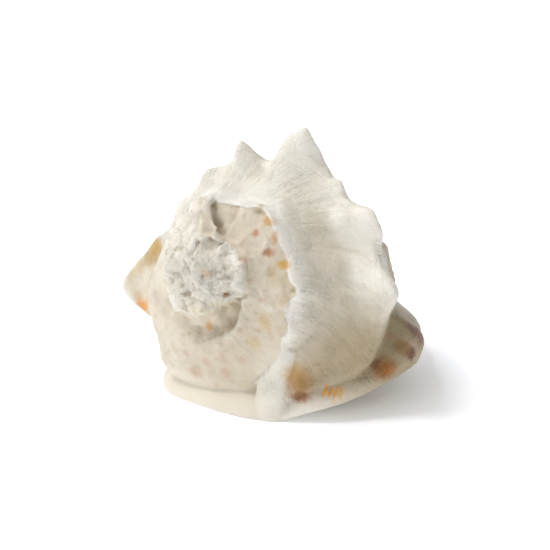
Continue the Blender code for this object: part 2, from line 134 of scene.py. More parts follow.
# The base's rim, as x, y, height of its lower edge and thickness.
BASE_OUTLINE = (
    (-53, 33, 0, 3), (-26, 26, 0, 3), (4, 22, 0, 4), (29, 23, 0, 5), (48, 30, 0, 7), (70, 40, 8, 9),
    (88, 54, 15, 12), (101, 72, 22, 13), (109, 97, 28, 14), (109, 124, 30, 14), (98, 150, 28, 14),
    (81, 176, 23, 13), (65, 204, 19, 12), (42, 228, 16, 12), (16, 240, 20, 12), (-14, 236, 16, 10),
    (-44, 218, 9, 8), (-68, 188, 4, 7), (-84, 152, 2, 6), (-90, 114, 1, 6), (-85, 80, 0, 4), (-71, 52, 0, 4),
)


def spline(keys, x):
    """A smooth curve through the keys, flat beyond both ends."""
    at = np.array([key[0] for key in keys], float)
    value = np.array([key[1] for key in keys], float)
    x = np.clip(np.asarray(x, float), at[0], at[-1])
    rise = np.diff(value) / np.diff(at)
    slope = np.concatenate([[0.0], np.where(rise[1:] * rise[:-1] > 0, (rise[1:] + rise[:-1]) / 2, 0), [0.0]])
    slope[1:-1] = np.clip(slope[1:-1], -2.5 * np.minimum(abs(rise[1:]), abs(rise[:-1])),
                          2.5 * np.minimum(abs(rise[1:]), abs(rise[:-1])))
    i = np.clip(np.searchsorted(at, x, side="right") - 1, 0, len(at) - 2)
    width = at[i + 1] - at[i]
    t = (x - at[i]) / width
    return (value[i] * (1 + 2 * t) * (1 - t) ** 2 + value[i + 1] * t * t * (3 - 2 * t)
            + slope[i] * width * t * (1 - t) ** 2 - slope[i + 1] * width * t * t * (1 - t))


def loop_spline(keys, count):
    """Points along a smooth closed curve through the keys."""
    keys = np.array(keys, float)
    n = len(keys)
    s = np.linspace(0, n, count, endpoint=False)
    i = s.astype(int)
    t = (s - i)[:, None]
    a, b, c, d = keys[(i - 1) % n], keys[i], keys[(i + 1) % n], keys[(i + 2) % n]
    return 0.5 * (2 * b + (c - a) * t + (2 * a - 5 * b + 4 * c - d) * t ** 2
                  + (3 * b - a - 3 * c + d) * t ** 3)


def unevenness(x, seed):
    """Smooth random waves of unit size along one number."""
    draw = np.random.default_rng(seed)
    total = 0
    for _ in range(7):
        rate = draw.uniform(0.5, 1.6)
        shift = draw.uniform(0, 6.3)
        total = total + math.sqrt(2 / 7) * np.sin(x * rate * 2 * math.pi + shift)
    return total


def hump(x, middle, width):
    """A bell of height 1 round its middle."""
    return np.exp(-((x - middle) / width) ** 2)


def coil(radius, angle, depth):
    """World position of a point given round the coil's axis."""
    across = radius * np.cos(angle)
    up = radius * np.sin(angle)
    return np.stack([
        across,
        up * math.sin(AXIS_TILT) + depth * math.cos(AXIS_TILT),
        APEX_HEIGHT + up * math.cos(AXIS_TILT) - depth * math.sin(AXIS_TILT),
    ], axis=-1)


def shoulder_at(turn):
    size = TURN_GROWTH ** turn
    return (SHOULDER_RADIUS * size * float(spline(FLARE, turn)),
            SHOULDER_DEPTH * size * float(spline(DEEPER, turn)))


def rounded_shoulder(radius, depth, corner):
    """Rounds a section where its ramp meets its side."""
    steps = np.arange(len(radius))
    weight = np.exp(-((steps - corner) / 11.0) ** 4)
    kernel = np.exp(-(np.arange(-18, 19) / 7.0) ** 2)
    kernel /= kernel.sum()
    soft_r = np.convolve(np.pad(radius, 18, mode="edge"), kernel, mode="valid")
    soft_d = np.convolve(np.pad(depth, 18, mode="edge"), kernel, mode="valid")
    return radius + (soft_r - radius) * weight, depth + (soft_d - depth) * weight


def with_old_lips(depth, ramp, turn):
    """The ramp, raised to a cliff before each old lip and sunk to a groove after it."""
    for lip_turn, lean, rise, length in OLD_LIPS:
        before = lip_turn + lean * (1 - ramp) ** LIP_BEND - turn
        depth -= np.where(before > 0, rise * np.exp(-before / length), 0)
        depth += np.where(before <= 0, 0.25 * rise * np.exp(before / 0.012), 0)
    return depth


def with_knobs(depth, ramp, turn, lump):
    """The ramp of the older turns, with knobs near the shoulder, lumps inside them and pits by the seam."""
    sway = unevenness(turn * 9, 11)
    wave = max(0.0, math.cos(2 * math.pi * (turn * KNOBS_A_TURN + 0.16 * sway)))
    strength = 0.85 + 0.45 * unevenness(turn * 7, 3)
    inner = float(np.clip((-1.3 - turn) / 0.3, 0, 1))
    knob = (1.5 + 7.0 * inner) * lump * wave * strength
    swelling = (0.6 + 4.0 * inner) * lump * max(0.0, unevenness(turn * 24, 8))
    pit = 1.1 * inner * lump * max(0.0, unevenness(turn * 12, 31))
    depth -= knob * hump(ramp, 0.72, 0.24)
    depth -= swelling * hump(ramp, 0.3, 0.2)
    depth += pit * hump(ramp, 0.16, 0.12)
    return depth


def with_horns(radius, depth, along, turn):
    """The section, pushed outward and backward where it passes a horn or a low knob."""
    for horn_turn, where, out, back, width, spread in HORNS:
        near = (turn - horn_turn) / width
        far = (along - where) / spread
        lift = np.exp(-((near ** 2 + far ** 2) ** 0.8) * 1.25)
        radius = radius + out * lift
        depth = depth - back * lift
    return radius, depth


def side_radius(turn, side):
    """The whorl's radius down its side, from the shoulder at 0 to the end at 1."""
    swell = np.sin(math.pi * np.clip(side / float(spline(BELLY_REACH, turn)), 0, 1))
    return shoulder_at(turn)[0] * spline(SIDE, side) * (1 + (float(spline(BELLY, turn)) - 1) * swell)


def whorl_section(turn):
    """Radius and depth of one section of the coil, from the axis out, forward and back to the axis."""
    size = TURN_GROWTH ** turn
    lump = size ** 0.8
    shoulder, shoulder_depth = shoulder_at(turn)
    seam, seam_depth = shoulder_at(turn - 1)
    seam_depth += SHOULDER_RADIUS * size * float(spline(SEAM_DROP, turn))
    seam = min(seam * 0.99, shoulder * 0.9)
    scallop = float(spline(SEAM_SCALLOPS, turn))
    if turn < -0.6:
        scallop = 2.6 * lump * unevenness(turn * 13, 5)

    ramp = np.linspace(0, 1, RAMP_STEPS)
    dip = 5.0 * float(spline(HOLLOW_RAMP, turn)) * size * np.sin(math.pi * ramp)
    bead = (4.2 + 2.2 * float(np.clip((turn + 0.65) / 0.1, 0, 1))) * lump * hump(ramp, 0.05, 0.075)
    ramp_r = seam + (shoulder - seam) * ramp + scallop * hump(ramp, 0.0, 0.12)
    ramp_d = seam_depth + (shoulder_depth - seam_depth) * ramp + dip - bead
    ramp_d = with_old_lips(ramp_d, ramp, turn)
    if turn < -0.62:
        ramp_d = with_knobs(ramp_d, ramp, turn, lump)
    for ridge_turn, rise, width in RIDGES:
        ramp_d -= rise * hump(turn - ridge_turn, 0.03 * (ramp - 1), width) * ramp ** 1.4
    crest = float(spline(CREST, turn))
    gutter = 6.0 * np.sin(math.pi * np.clip(ramp / crest, 0, 1)) ** 0.6
    ramp_d += float(spline(CREST_RISE, turn)) * (gutter - 2.5 * hump(ramp - crest, 0.03, 0.08))
    evenness = 1.0 if turn > -0.75 else 0.5
    swept = turn - 0.047 * ramp ** 1.3
    growth = evenness * size * (0.42 * unevenness(swept * 60, 21) + 0.32 * unevenness(swept * 130, 22))
    ramp_d -= growth * np.sin(math.pi * np.clip(ramp, 0, 1)) ** 0.6

    side = np.linspace(0, 1, 71)[1:] ** 1.15
    side_r = side_radius(turn, side)
    side_r += growth[-1] * 0.8 * np.sin(math.pi * side) ** 0.5
    side_d = shoulder_depth + (BODY_END - shoulder_depth) * (1.0 if turn > -1.02 else 0.4) * side
    radius = np.concatenate([[0.0, seam * 0.97], ramp_r, side_r])
    depth = np.concatenate([[seam_depth + 6 * lump, seam_depth + 3 * lump], ramp_d, side_d])
    radius, depth = rounded_shoulder(radius, depth, 2 + RAMP_STEPS)
    along = np.concatenate([[-999, -999], ramp_r - shoulder, side_d - shoulder_depth])
    radius, depth = with_horns(radius, depth, along, turn)
    radius[0] = 0.0
    radius[-1] = 0.0
    return radius, depth


def coiled_whorls():
    """The coil from the spire's tip to the lip, each section reaching the axis."""
    turns = np.concatenate([np.arange(FIRST_TURN, -1.6, 1 / 150), np.arange(-1.6, 0.0001, 1 / 400)])
    rings = []
    for turn in turns:
        radius, depth = whorl_section(turn)
        rings.append(coil(radius, LIP_ANGLE - 2 * math.pi * turn, depth))
    return np.array(rings)


def base_shell():
    """The base: a slab with a flat underside, an upturned lip on the right and a shield on the left."""
    rim = loop_spline(BASE_OUTLINE, 300)
    centre = np.array(BASE_CENTRE)
    lip = np.clip((rim[:, 2] - 2) / 20, 0, 1)
    groove = np.clip((78 - rim[:, 1]) / 28, 0, 1)
    rings = []
    # The flat underside, which curls up to the rim where the lip flares.
    for share in (0.0001, 0.3, 0.5, 0.62, 0.72, 0.8, 0.87, 0.93, 0.975):
        lift = rim[:, 2] * np.clip((share - 0.5) / 0.5, 0, 1) ** 1.5
        rings.append(np.column_stack([centre + (rim[:, :2] - centre) * share, lift - 3 * (rim[:, 2] < 1)]))
    # The rounded rim.
    for share, up in ((1.0, 0.25), (1.01, 0.5), (1.0, 0.8)):
        rings.append(np.column_stack([centre + (rim[:, :2] - centre) * share, rim[:, 2] + rim[:, 3] * up]))
    # The top: a sloping shield, and on the lip's side a groove in front and a rise behind it.
    top = rim[:, 2] + rim[:, 3]
    for share in (0.965, 0.93, 0.89, 0.85, 0.8, 0.74, 0.66, 0.56, 0.4, 0.0001):
        inward = (1 - share) * np.linalg.norm(rim[:, :2] - centre, axis=1)
        shield = top + 1.0 * np.clip(inward, 0, 18) + 0.3 * np.clip(inward - 18, 0, 99)
        valley = top - 3.0 * np.clip(inward / 12, 0, 1) + np.clip(inward - 12, 0, 99) * 1.1
        swept_up = top + 0.8 * inward
        height = shield * (1 - lip) + (valley * groove + swept_up * (1 - groove)) * lip
        rings.append(np.column_stack([centre + (rim[:, :2] - centre) * share, np.minimum(height, 62)]))
    return np.array(rings)


def fold(points, across=32):
    """A rounded fold along points given as x, y, z, radius."""
    points = np.array(points, float)
    s = np.linspace(0, len(points) - 1, 30)
    keys = np.arange(len(points))
    path = np.column_stack([spline(list(zip(keys, points[:, i])), s) for i in range(4)])
    tangent = np.gradient(path[:, :3], axis=0)
    tangent /= np.linalg.norm(tangent, axis=1)[:, None]
    side = np.cross(tangent, (0.3, 0.9, 0.2))
    side /= np.linalg.norm(side, axis=1)[:, None]
    other = np.cross(tangent, side)
    turn = np.linspace(0, 2 * math.pi, across, endpoint=False)
    return np.array([
        p[:3] + p[3] * (np.cos(turn)[:, None] * a + np.sin(turn)[:, None] * b)
        for p, a, b in zip(path, side, other)
    ])


def old_lip_flange():
    """The flange of the older lip: a fin that stands out on the left, thick where it leaves the body."""
    edge = ((150, 58, 30, 20), (158, 66, 36, 16), (166, 76, 44, 14), (175, 84, 48, 12), (184, 96, 50, 12),
            (190, 106, 51, 12), (194, 109, 52, 13), (198, 104, 52, 14), (203, 95, 50, 15), (209, 86, 48, 18),
            (216, 76, 44, 22))
    keys = np.linspace(0, 1, len(edge))
    s = np.linspace(0, 1, 90)
    angle, radius, depth, thick = (spline([(k, e[i]) for k, e in zip(keys, edge)], s) for i in range(4))
    section = ((0.25, -0.1), (0.75, -0.1), (0.95, 0.05), (1.0, 0.3), (0.97, 0.75), (0.8, 1.0), (0.25, 1.3))
    loop = []
    for t, r, d, h in zip(np.radians(angle), radius, depth, thick):
        loop.append(coil(np.array([q[0] * r for q in section]), t, np.array([d + q[1] * h for q in section])))
    return np.array(loop)


def rolled_edge():
    """The old lip's rolled edge, along the cliff that crosses the turn before the last."""
    lip_turn, lean = OLD_LIPS[0][:2]
    points = []
    for share in np.linspace(0.25, 1.0, 12):
        turn = lip_turn + lean * (1 - share) ** LIP_BEND - 0.003
        radius, depth = whorl_section(turn)
        i = 2 + int(round(share * (RAMP_STEPS - 1)))
        at = coil(radius[i], LIP_ANGLE - 2 * math.pi * (turn + 0.011), depth[i] + 1.2)
        points.append((*at, 1.8 + 0.8 * share))
    return fold(points)


def hollow_whorl():
    """The room inside the last whorl, a wall's thickness inside the body and round a middle column."""
    side = np.linspace(0.0, 0.86, 12)
    rings = []
    for turn in np.linspace(-0.93, -0.05, 60):
        shoulder_depth = shoulder_at(turn)[1]
        side_r = side_radius(turn, side) - WALL
        side_r[0] -= 8
        side_r = np.maximum(side_r, COLUMN + 3)
        start = max(shoulder_depth + 6, 48.0)
        side_d = shoulder_depth + (BODY_END - shoulder_depth) * side
        side_d = np.maximum(side_d, start + side * 10)
        radius = np.concatenate([[COLUMN], side_r, [COLUMN]])
        depth = np.concatenate([[start], side_d, [side_d[-1]]])
        rings.append(coil(radius, LIP_ANGLE - 2 * math.pi * turn, depth))
    return np.array(rings)


def mouth_slit():
    """The narrow mouth, cut up from the underside, its outer-lip side scalloped between teeth."""
    keys = np.arange(len(MOUTH))
    s = np.linspace(0, len(MOUTH) - 1, 260)
    x, y, half, top = (spline([(k, m[i]) for k, m in zip(keys, MOUTH)], s) for i in range(4))
    run = np.concatenate([[0], np.cumsum(np.hypot(np.diff(x), np.diff(y)))])
    tooth = TOOTH_DEPTH * np.cos(2 * math.pi * run / TOOTH_PITCH) * (y < 205)
    rings = []
    for i in range(len(s)):
        left, right = x[i] - half[i], x[i] + half[i] + tooth[i]
        rings.append([
            (left - 3, y[i], -6), (left - 0.5, y[i], 4), (left, y[i], 9), (left + 1, y[i], top[i]),
            (right - 1, y[i], top[i]), (right, y[i], 9), (right + 0.5, y[i], 4), (right + 3, y[i], -6),
        ])
    return np.array(rings)


def lay_up(mesh, rings):
    """Adds one closed form: rings of points joined by quads, with a cap over each end."""
    count = rings.shape[1]
    vertices = [[mesh.verts.new(point * MM) for point in ring] for ring in rings]
    for near, far in zip(vertices, vertices[1:]):
        for i in range(count):
            j = (i + 1) % count
            mesh.faces.new((near[i], near[j], far[j], far[i]))
    mesh.faces.new(list(reversed(vertices[0])))
    mesh.faces.new(vertices[-1])


def named_object(name, forms):
    mesh = bmesh.new()
    for rings in forms:
        lay_up(mesh, rings - np.array([BOX_MIDDLE[0], BOX_MIDDLE[1], 0]))
    bmesh.ops.triangulate(mesh, faces=[face for face in mesh.faces if len(face.verts) > 4])
    bmesh.ops.recalc_face_normals(mesh, faces=mesh.faces[:])
    data = bpy.data.meshes.new(name)
    mesh.to_mesh(data)
    mesh.free()
    obj = bpy.data.objects.new(name, data)
    bpy.context.scene.collection.objects.link(obj)
    return obj


def finished(obj):
    """Replaces an object's mesh by what its modifiers make of it."""
    graph = bpy.context.evaluated_depsgraph_get()
    data = bpy.data.meshes.new_from_object(obj.evaluated_get(graph))
    obj.modifiers.clear()
    obj.data = data
    return data


def points_of(data):
    points = np.empty(len(data.vertices) * 3)
    data.vertices.foreach_get("co", points)
    return points.reshape(-1, 3)


def normals_of(data):
    normals = np.empty(len(data.vertices) * 3)
    data.vertices.foreach_get("normal", normals)
    return normals.reshape(-1, 3)


def neighbour_mean(data, values):
    """Each vertex's mean of its neighbours' values."""
    ends = np.empty(len(data.edges) * 2, np.int64)
    data.edges.foreach_get("vertices", ends)
    a, b = ends.reshape(-1, 2).T
    n = len(data.vertices)
    share = np.bincount(a, minlength=n) + np.bincount(b, minlength=n)
    columns = [np.bincount(a, values[:, i][b], n) + np.bincount(b, values[:, i][a], n)
               for i in range(values.shape[1])]
    return np.column_stack(columns) / np.maximum(share, 1)[:, None]


def coil_coordinates(points):
    """Radius, angle and depth round the coil's axis of points in metres, the turn of the ray they lie on, and
    their place in the coil, which is 0 at the last shoulder and -1 a turn inside it."""
    x, y, z = ((points / MM) + np.array([BOX_MIDDLE[0], BOX_MIDDLE[1], 0])).T
    up = y * math.sin(AXIS_TILT) + (z - APEX_HEIGHT) * math.cos(AXIS_TILT)
    depth = y * math.cos(AXIS_TILT) - (z - APEX_HEIGHT) * math.sin(AXIS_TILT)
    radius = np.hypot(x, up)
    angle = np.arctan2(up, x)
    turn = -(np.degrees(angle) + 70) / 360
    turn = np.where(turn > 0, turn - 1, turn)
    place = np.log(np.maximum(radius, 0.5) / SHOULDER_RADIUS) / math.log(TURN_GROWTH) - turn
    return radius, angle, depth, turn, place


def growth_zones(points):
    """Millimetres beyond the last seam, and the turn in which a point of the surface was grown."""
    radius, _, depth, turn, _ = coil_coordinates(points)
    scale = 0.99 * SHOULDER_RADIUS * TURN_GROWTH ** (turn - 1)
    past = radius - scale * spline(FLARE, turn - 1) - spline(SEAM_SCALLOPS, turn)
    past_earlier = radius - scale / TURN_GROWTH * spline(FLARE, turn - 2)
    # The front canal lies nearer the axis than the older turns did, and was still grown last.
    canal = depth - 0.6 * radius > 26
    past = np.where(canal, np.maximum(past, 12.0), past)
    past_earlier = np.where(canal, 12.0, past_earlier)
    return past, turn - np.clip(0.5 - past, 0, 1) - np.clip(0.5 - past_earlier, 0, 1)


def noise_over(points, scale, shift=(0, 0, 0)):
    """Smooth noise at each point, once the points are scaled and shifted."""
    return np.array([noise.noise(Vector(p) * scale + Vector(shift)) for p in points])


callus_fold = fold((
    (57, 33, 57, 5), (51, 33, 47, 8), (46, 34, 38, 10), (42, 34, 28, 11), (39, 35, 17, 12), (37, 38, 4, 14)))
apron = fold(((62, 58, 50, 8), (58, 56, 42, 9), (56, 56, 32, 10), (55, 57, 20, 10), (54, 58, 8, 11)))
bridge = fold((
    (58, 44, 54, 6), (54, 45, 46, 8), (51, 46, 39, 9), (49, 46, 28, 10), (47, 46, 17, 11), (46, 47, 6, 12)))
siphon = fold(((20, 195, 34, 20), (10, 214, 32, 18), (3, 230, 36, 14), (0, 240, 50, 9)))
shell = named_object("helmet_shell_grown", [
    coiled_whorls(), base_shell(), callus_fold, bridge, apron, siphon, old_lip_flange(), rolled_edge()])
fuse = shell.modifiers.new("fuse", "REMESH")
fuse.mode = "VOXEL"
fuse.voxel_size = VOXEL * MM
data = finished(shell)

# The worked surface: the grid's steps are softened, then small unevenness everywhere, creases on the spire
# and folds on the lower left are pushed in or out.
points = points_of(data)
for _ in range(3):
    points = points * 0.5 + neighbour_mean(data, points) * 0.5
data.vertices.foreach_set("co", points.ravel())
data.update()
age = growth_zones(points)[1]
height = points[:, 2] / MM
spire = np.clip((SPIRE_EDGE - age) / 0.03, 0, 1)
lower = np.clip((-0.7 - age) / 0.1, 0, 1) * np.clip((height - 16) / 8, 0, 1)
rough = noise_over(points, 90)
fine = noise_over(points, 260, (7, 1, 3))
broad = noise_over(points, 38, (3, 5, 9))
folded = np.clip(1 - abs(noise_over(points, 44, (2, 8, 4))) / 0.16, 0, 1)
_, angle, _, _, place = coil_coordinates(points)
bend = angle + 0.3 * place
along_coil = np.column_stack([5 * np.cos(bend), 5 * np.sin(bend), 2.0 * place])
creases = np.clip(1 - abs(noise_over(along_coil, 1)) / 0.10, 0, 1)
move = 0.35 * rough + 0.1 * fine + spire * (0.9 * rough + 0.1 * fine - 0.8 * creases + 0.2)
move += lower * (2.0 * broad + 1.5 * folded * np.clip(broad * 4, 0, 1) + 0.8 * rough + 0.5 * fine)
move = np.where(height < FLAT_BELOW, 0, move)
points = points + normals_of(data) * (move * MM)[:, None]
data.vertices.foreach_set("co", points.ravel())

thin = shell.modifiers.new("thin", "DECIMATE")
thin.ratio = min(1.0, KEPT_TRIANGLES / (2 * len(data.polygons)))
ground = np.array([
    [(x, y, z) for x, z in ((-300, -30), (300, -30), (300, 0), (-300, 0))] for y in (-300, 450)], float)
cutters = [
    named_object("mouth", [mouth_slit()]),
    named_object("hollow", [hollow_whorl()]),
    named_object("level", [ground]),
]
# The exact solver fails on this fine fused mesh, so the cuts use the manifold one.
for cutter in cutters:
    step = shell.modifiers.new(cutter.name, "BOOLEAN")
    step.operation = "DIFFERENCE"
    step.solver = "MANIFOLD"
    step.object = cutter
data = finished(shell)
for cutter in cutters:
    bpy.data.objects.remove(cutter)
data.shade_smooth()
data.set_sharp_from_angle(angle=math.radians(55))

# Crevices and worn tops, measured on the finished surface, and the zones of colour along the growth.
points = points_of(data)
smooth = points.copy()
for _ in range(12):
    smooth = neighbour_mean(data, smooth)
crevice = ((smooth - points) * normals_of(data)).sum(axis=1) / MM
for _ in range(3):
    crevice = neighbour_mean(data, crevice[:, None])[:, 0]
past, age = growth_zones(points)
for name, values in (("crevice", crevice), ("past_seam", past), ("age", age)):
    layer = data.attributes.new(name, "FLOAT", "POINT")
    layer.data.foreach_set("value", values.astype(np.float32))


def node(tree, kind, values=(), **settings):
    """Adds a node, sets its settings and gives its inputs, as plain values or as another node's output."""
    made = tree.nodes.new(kind)
    for key, value in settings.items():
        setattr(made, key, value)
    for key, value in dict(values).items():
        if isinstance(value, bpy.types.NodeSocket):
            tree.links.new(value, made.inputs[key])
        else:
            made.inputs[key].default_value = value
    return made


def maths(tree, operation, a, b=0.0, c=0.0):
    return node(tree, "ShaderNodeMath", {0: a, 1: b, 2: c}, operation=operation).outputs[0]


def product(tree, value, *others):
    for other in others:
        value = maths(tree, "MULTIPLY", value, other)
    return value


def inverted(tree, value):
    return maths(tree, "SUBTRACT", 1.0, value)


def vectors(tree, operation, a, b):
    return node(tree, "ShaderNodeVectorMath", {0: a, 1: b}, operation=operation).outputs[0]


def dotted(tree, a, b):
    return node(tree, "ShaderNodeVectorMath", {0: a, 1: b}, operation="DOT_PRODUCT").outputs[1]


def scaled(tree, vector, factor):
    return node(tree, "ShaderNodeVectorMath", {0: vector, 3: factor}, operation="SCALE").outputs[0]


def length_of(tree, vector):
    return node(tree, "ShaderNodeVectorMath", {0: vector}, operation="LENGTH").outputs[1]


def mixed(tree, share, a, b):
    made = node(tree, "ShaderNodeMix", data_type="RGBA")
    for index, value in ((0, share), (6, a), (7, b)):
        if isinstance(value, bpy.types.NodeSocket):
            tree.links.new(value, made.inputs[index])
        else:
            made.inputs[index].default_value = value if index == 0 else (*value, 1.0)
    return made.outputs[2]


def band(tree, value, low, high):
    """0 at low and 1 at high, smooth between."""
    limits = {0: value, 1: low, 2: high}
    return node(tree, "ShaderNodeMapRange", limits, interpolation_type="SMOOTHSTEP").outputs[0]


def new_group(name, inputs, outputs):
    group = bpy.data.node_groups.new(name, "ShaderNodeTree")
    for socket, kind, value in inputs:
        made = group.interface.new_socket(socket, in_out="INPUT", socket_type=kind)
        if value is not None:
            made.default_value = value
    for socket, kind in outputs:
        group.interface.new_socket(socket, in_out="OUTPUT", socket_type=kind)
    return group, group.nodes.new("NodeGroupInput"), group.nodes.new("NodeGroupOutput")


# Coil coordinates: where a point lies round the coil's axis, for everything that follows the growth.
coil_group, into, out = new_group("coil coordinates", (), (
    ("Around", "NodeSocketVector"), ("Place", "NodeSocketFloat"), ("Depth", "NodeSocketFloat"),
    ("Position", "NodeSocketVector")))
spot = node(coil_group, "ShaderNodeTexCoord").outputs["Object"]
apart = scaled(coil_group, spot, 1 / MM)
from_tip = vectors(coil_group, "SUBTRACT", apart, TIP)
across = dotted(coil_group, from_tip, (1.0, 0.0, 0.0))
up = dotted(coil_group, from_tip, (0.0, math.sin(AXIS_TILT), math.cos(AXIS_TILT)))
ahead = dotted(coil_group, from_tip, (0.0, math.cos(AXIS_TILT), -math.sin(AXIS_TILT)))
square = maths(coil_group, "ADD", product(coil_group, across, across), product(coil_group, up, up))
reach = maths(coil_group, "SQRT", maths(coil_group, "MAXIMUM", square, 0.3))
way = maths(coil_group, "ARCTAN2", up, across)
turns_on = maths(coil_group, "MULTIPLY_ADD", way, 1 / (2 * math.pi), 70 / 360)
turns_on = maths(coil_group, "ADD", turns_on, maths(coil_group, "LESS_THAN", turns_on, 0.0))
size_log = maths(coil_group, "LOGARITHM", maths(coil_group, "DIVIDE", reach, SHOULDER_RADIUS), math.e)
place_at = maths(coil_group, "ADD", maths(coil_group, "DIVIDE", size_log, math.log(TURN_GROWTH)), turns_on)
swept = maths(coil_group, "MULTIPLY_ADD", place_at, math.radians(17), way)
around = node(coil_group, "ShaderNodeCombineXYZ", {
    0: maths(coil_group, "COSINE", swept), 1: maths(coil_group, "SINE", swept), 2: 0.0}).outputs[0]
for value, name in ((around, "Around"), (place_at, "Place"), (ahead, "Depth"), (apart, "Position")):
    coil_group.links.new(value, out.inputs[name])

# Growth relief: ridges that follow the growing edge and threads that run along the coil, as two noises.
relief_group, into, out = new_group("growth relief", (
    ("Around", "NodeSocketVector", None), ("Place", "NodeSocketFloat", 0.0),
    ("Depth", "NodeSocketFloat", 0.0), ("Ridges", "NodeSocketFloat", 45.0),
    ("Threads", "NodeSocketFloat", 34.0)), (
    ("Ridge", "NodeSocketFloat"), ("Thread", "NodeSocketFloat")))
slow = node(relief_group, "ShaderNodeCombineXYZ", {
    0: 0.0, 1: 0.0, 2: product(relief_group, into.outputs["Place"], 3.0)}).outputs[0]
ringed = scaled(relief_group, into.outputs["Around"], into.outputs["Ridges"])
ridge = node(relief_group, "ShaderNodeTexNoise", {
    "Vector": vectors(relief_group, "ADD", ringed, slow), "Scale": 1.0, "Detail": 3.0, "Roughness": 0.65})
lift = product(relief_group, into.outputs["Place"], into.outputs["Threads"])
lift = maths(relief_group, "MULTIPLY_ADD", into.outputs["Depth"], 0.25, lift)
fast = node(relief_group, "ShaderNodeCombineXYZ", {0: 0.0, 1: 0.0, 2: lift}).outputs[0]
turned = scaled(relief_group, into.outputs["Around"], 3.0)
thread = node(relief_group, "ShaderNodeTexNoise", {
    "Vector": vectors(relief_group, "ADD", turned, fast), "Scale": 1.0, "Detail": 2.0, "Roughness": 0.6})
relief_group.links.new(ridge.outputs["Fac"], out.inputs["Ridge"])
relief_group.links.new(thread.outputs["Fac"], out.inputs["Thread"])

# Stain: one soft-edged mark with a ragged outline, at a place on the shell.
stain_group, into, out = new_group("stain", (
    ("Position", "NodeSocketVector", None), ("Centre", "NodeSocketVector", None),
    ("Stretch", "NodeSocketVector", None), ("Size", "NodeSocketFloat", 4.0),
    ("Ragged", "NodeSocketFloat", 0.85)), (("Mask", "NodeSocketFloat"),))
offset = vectors(stain_group, "SUBTRACT", into.outputs["Position"], into.outputs["Centre"])
offset = vectors(stain_group, "MULTIPLY", offset, into.outputs["Stretch"])
away = maths(stain_group, "DIVIDE", length_of(stain_group, offset), into.outputs["Size"])
wobble = node(stain_group, "ShaderNodeTexNoise", {
    "Vector": into.outputs["Position"], "Scale": 0.3, "Detail": 4.0}).outputs["Fac"]
push = product(stain_group, maths(stain_group, "SUBTRACT", wobble, 0.5), into.outputs["Ragged"])
away = maths(stain_group, "MULTIPLY_ADD", push, 1.8, away)
stain_group.links.new(inverted(stain_group, band(stain_group, away, 0.25, 1.25)), out.inputs["Mask"])

material = bpy.data.materials.new("weathered shell")
material.use_nodes = True
tree = material.node_tree
surface = tree.nodes["Principled BSDF"]
where = node(tree, "ShaderNodeGroup", node_tree=coil_group).outputs
growth = {name: where[name] for name in ("Around", "Place", "Depth")}
relief = node(tree, "ShaderNodeGroup", growth, node_tree=relief_group).outputs
fine_relief = node(tree, "ShaderNodeGroup", {**growth, "Ridges": 110.0, "Threads": 80.0},
                   node_tree=relief_group).outputs
crevice_mark, past_seam, grown = (
    node(tree, "ShaderNodeAttribute", attribute_name=name).outputs["Fac"]
    for name in ("crevice", "past_seam", "age"))
position = where["Position"]
spread = node(tree, "ShaderNodeSeparateXYZ", {0: position}).outputs
cloud = node(tree, "ShaderNodeTexNoise", {
    "Vector": position, "Scale": 0.03, "Detail": 5.0, "Roughness": 0.6}).outputs["Fac"]
grain = node(tree, "ShaderNodeTexNoise", {
    "Vector": position, "Scale": 0.45, "Detail": 4.0, "Roughness": 0.7}).outputs["Fac"]
patchy = band(tree, cloud, 0.42, 0.6)

# Zones of the growth: the glazed base, the last whorl, the turn before it and the worn spire.
off_base = band(tree, spread["Z"], 14.0, 26.0)
on_base = inverted(tree, off_base)
outside_spire = band(tree, grown, SPIRE_EDGE - 0.06, SPIRE_EDGE)
spire_mark = inverted(tree, outside_spire)
last_mark = product(tree, band(tree, past_seam, -1.5, 0.8), band(tree, grown, -0.76, -0.62))
before_mark = product(tree, outside_spire, inverted(tree, last_mark))

# Ground colours of the zones: white with a paler welt, partly a painted highlight, beige to cream, chalk, a
# painted shade over the middle of the last whorl's face, and a duller right-hand side that is partly painted
# shade.
white = mixed(tree, band(tree, cloud, 0.35, 0.65), (0.80, 0.765, 0.68), (0.76, 0.72, 0.62))
# The welt is white, and it is made paler still as a painted highlight on its lit side.
welt_and_highlight = product(tree, inverted(tree, band(tree, past_seam, 5.0, 11.0)), last_mark)
white = mixed(tree, product(tree, welt_and_highlight, 0.9), white, (0.93, 0.90, 0.83))
beige = mixed(tree, band(tree, cloud, 0.4, 0.6), (0.63, 0.54, 0.41), (0.71, 0.635, 0.505))
cream = mixed(tree, band(tree, cloud, 0.4, 0.6), (0.70, 0.63, 0.51), (0.63, 0.55, 0.425))
chalk = mixed(tree, band(tree, grain, 0.35, 0.65), (0.70, 0.645, 0.545), (0.79, 0.75, 0.665))
colour = mixed(tree, band(tree, grown, -1.05, -0.85), beige, cream)
colour = mixed(tree, spire_mark, colour, chalk)
colour = mixed(tree, last_mark, colour, white)
# A darker tan over the middle of the last whorl's face: partly its own tone, partly painted shade of the
# hollow ramp.
middle_face_tan_and_shade = product(tree, band(tree, where["Place"], -0.95, -0.5),
                      inverted(tree, band(tree, where["Place"], -0.3, -0.08)),
                      last_mark, band(tree, spread["X"], 10.0, 55.0))
colour = mixed(tree, product(tree, middle_face_tan_and_shade, 0.65), colour, (0.53, 0.47, 0.36))
# A duller tan on the right-hand side beyond the shoulder: partly its own tone, partly painted shade of that
# side.
beyond = product(tree, band(tree, where["Depth"], 70.0, 125.0), last_mark,
                 band(tree, spread["X"], 25.0, 60.0))
colour = mixed(tree, product(tree, beyond, 0.8), colour, (0.48, 0.395, 0.27))
colour = mixed(tree, product(tree, on_base, 0.85), colour, (0.78, 0.72, 0.61))

